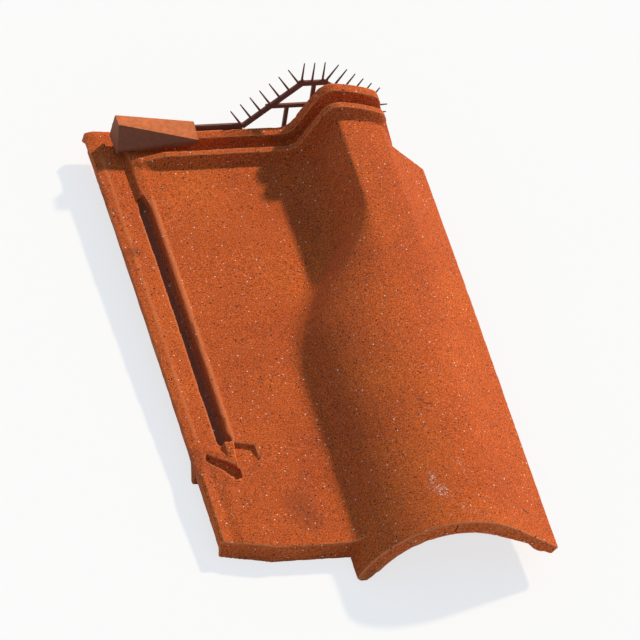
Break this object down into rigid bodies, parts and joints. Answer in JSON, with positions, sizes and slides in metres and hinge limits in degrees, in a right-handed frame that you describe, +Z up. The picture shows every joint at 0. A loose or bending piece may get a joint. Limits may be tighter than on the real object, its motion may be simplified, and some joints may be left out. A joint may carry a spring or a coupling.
{
  "type": "interlocking clay roof tile with bird comb",
  "caption": "Terracotta interlocking roof tile: flat pan, flared round roll, side lock, head ribs and hanging nibs, with a moulded bird comb clipped on the head.",
  "frame": {"origin": "centre of the bounding box, on the floor that the tile lies on", "axes": "+X across the tile to the roll side, +Y up the tile to the head, +Z up"},
  "size_m": [0.264, 0.4632, 0.0871],
  "materials": {
    "fired_clay": "matt, fine sandy grain",
    "comb_plastic": "satin moulded"
  },
  "bodies": {
    "root": {"tile": "fired_clay", "bird_comb": "comb_plastic"}
  },
  "joints": []
}
